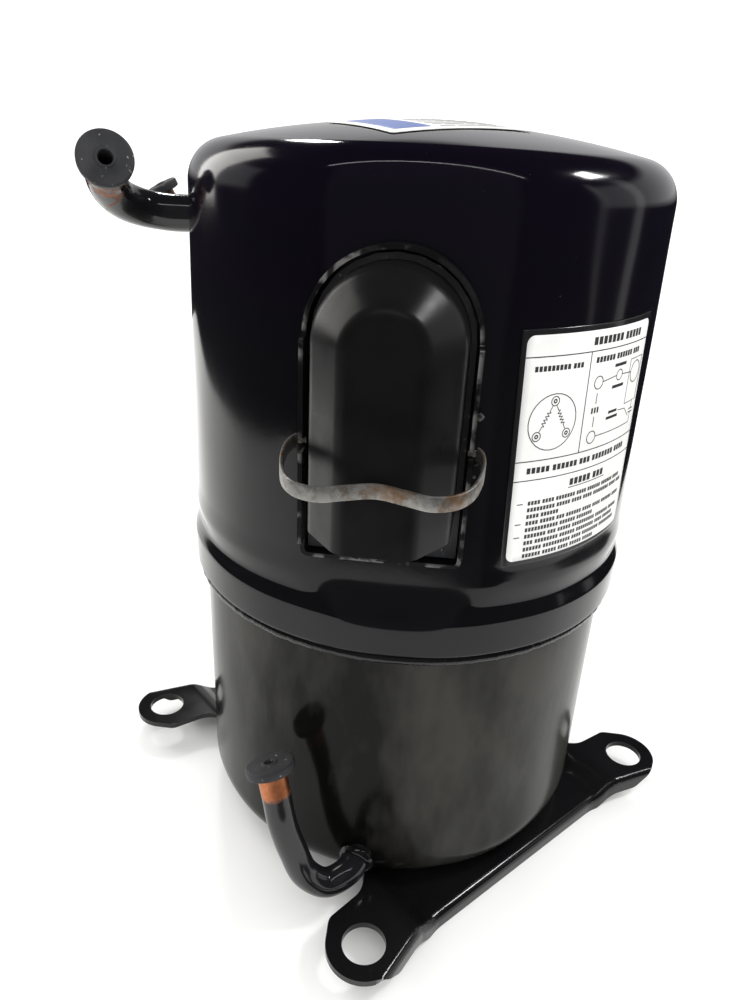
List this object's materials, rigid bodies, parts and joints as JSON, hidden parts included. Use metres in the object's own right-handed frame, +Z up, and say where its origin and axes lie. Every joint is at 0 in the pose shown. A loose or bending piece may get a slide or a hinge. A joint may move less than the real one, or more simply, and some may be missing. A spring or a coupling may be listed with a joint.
{
  "type": "hermetic refrigeration compressor",
  "caption": "Gloss black hermetic refrigeration compressor: welded two-piece drum housing on pressed-steel rails, side terminal box with bail strap, plugged side tubes.",
  "frame": {"origin": "centre of the flat boss under the housing, on the crank axis", "axes": "+Z up along the crank axis, -Y out through the terminal box; the suction tube leaves towards -X"},
  "size_m": [0.3024, 0.3024, 0.3348],
  "materials": {
    "black_paint": "gloss black enamel",
    "black_sheet": "satin black enamel on thin sheet",
    "zinc": "galvanised, stained",
    "steel": "machined",
    "cast_iron": "as cast, oiled",
    "copper": "drawn copper",
    "rubber": "moulded",
    "paper": "printed film",
    "aluminium": "machined",
    "varnished_wire": "varnished enamelled wire",
    "brass": "turned",
    "spring_steel": "blued wire",
    "phenolic": "moulded"
  },
  "bodies": {
    "root": {"lower_shell": "black_paint", "upper_shell": "black_paint", "seam_weld_bead": "black_paint", "front_mounting_rail": "black_paint", "rear_mounting_rail": "black_paint", "terminal_fence": "black_sheet", "terminal_gasket": "rubber", "terminal_body": "steel", "terminal_pin_common": "brass", "terminal_pin_start": "brass", "terminal_pin_run": "brass", "ground_screw": "brass", "suction_tube": "black_paint", "discharge_tube": "black_paint", "process_tube": "black_paint", "suction_collar": "black_paint", "discharge_collar": "black_paint", "wiring_label": "paper", "top_label": "paper", "discharge_shock_loop": "copper", "motor_leads": "rubber", "spring_seat_front_left": "steel", "suspension_spring_front_left": "spring_steel", "spring_seat_front_right": "steel", "suspension_spring_front_right": "spring_steel", "spring_seat_rear_right": "steel", "suspension_spring_rear_right": "spring_steel", "spring_seat_rear_left": "steel", "suspension_spring_rear_left": "spring_steel"},
    "pump_unit": {"crankcase": "cast_iron", "sump_cover_plate": "steel", "valve_plate_left": "steel", "valve_plate_right": "steel", "cylinder_head_left": "cast_iron", "cylinder_head_right": "cast_iron", "discharge_muffler": "steel", "relief_valve": "brass", "stator_core": "steel", "lower_winding": "varnished_wire", "upper_winding": "varnished_wire", "motor_end_cap": "steel", "overload_protector": "phenolic"},
    "crank": {"crankshaft": "steel", "rotor_core": "steel", "rotor_end_ring_lower": "aluminium", "rotor_end_ring_upper": "aluminium", "rotor_counterweight": "brass"},
    "slide_block": {"slide_block": "brass"},
    "oil_link": {"oil_pickup_tube": "steel"},
    "yoke": {"scotch_yoke": "steel", "piston_left": "aluminium", "piston_right": "aluminium"},
    "cover": {"terminal_cover": "black_sheet"},
    "strap": {"cover_bail_strap": "zinc"},
    "suction_plug": {"suction_plug": "rubber"},
    "discharge_plug": {"discharge_plug": "rubber"},
    "process_plug": {"process_plug": "rubber"}
  },
  "joints": [
    {"name": "pump_suspension", "type": "slide", "parent": "root", "child": "pump_unit", "axis": [0, 0, 1], "range_m": [-0.003, 0.003], "stiffness_N_per_m": 40000, "springref_m": 0.0047, "deforming": ["suspension_spring_front_left", "suspension_spring_front_right", "suspension_spring_rear_right", "suspension_spring_rear_left", "discharge_shock_loop", "motor_leads"]},
    {"name": "crank_turn", "type": "hinge", "parent": "pump_unit", "child": "crank", "pos_m": [0, 0, 0.12], "axis": [0, 0, 1], "continuous": true},
    {"name": "slide_block_turn", "type": "hinge", "parent": "crank", "child": "slide_block", "pos_m": [0.012, 0, 0.079], "axis": [0, 0, 1], "continuous": true},
    {"name": "oil_link_turn", "type": "hinge", "parent": "crank", "child": "oil_link", "pos_m": [0.006, 0, 0.05], "axis": [0, 0, 1], "continuous": true},
    {"name": "yoke_turn", "type": "hinge", "parent": "oil_link", "child": "yoke", "pos_m": [0.012, 0, 0.08], "axis": [0, 0, 1], "continuous": true},
    {"name": "cover_lift_off", "type": "slide", "parent": "root", "child": "cover", "axis": [0, -1, 0], "range_m": [0, 0.06]},
    {"name": "strap_pull_off", "type": "slide", "parent": "cover", "child": "strap", "axis": [0, -1, 0], "range_m": [0, 0.05]},
    {"name": "suction_plug_pull", "type": "slide", "parent": "root", "child": "suction_plug", "axis": [0.4335, -0.8352, 0.3383], "range_m": [0, 0.03]},
    {"name": "discharge_plug_pull", "type": "slide", "parent": "root", "child": "discharge_plug", "axis": [-0.2565, 0.2565, 0.9319], "range_m": [0, 0.03]},
    {"name": "process_plug_pull", "type": "slide", "parent": "root", "child": "process_plug", "axis": [-0.4363, -0.2182, 0.8729], "range_m": [0, 0.02]}
  ],
  "couplings": [
    {"joint": "slide_block_turn", "follows": "crank_turn", "ratio": -1},
    {"joint": "oil_link_turn", "follows": "crank_turn", "ratio": -2},
    {"joint": "yoke_turn", "follows": "crank_turn", "ratio": 1}
  ]
}
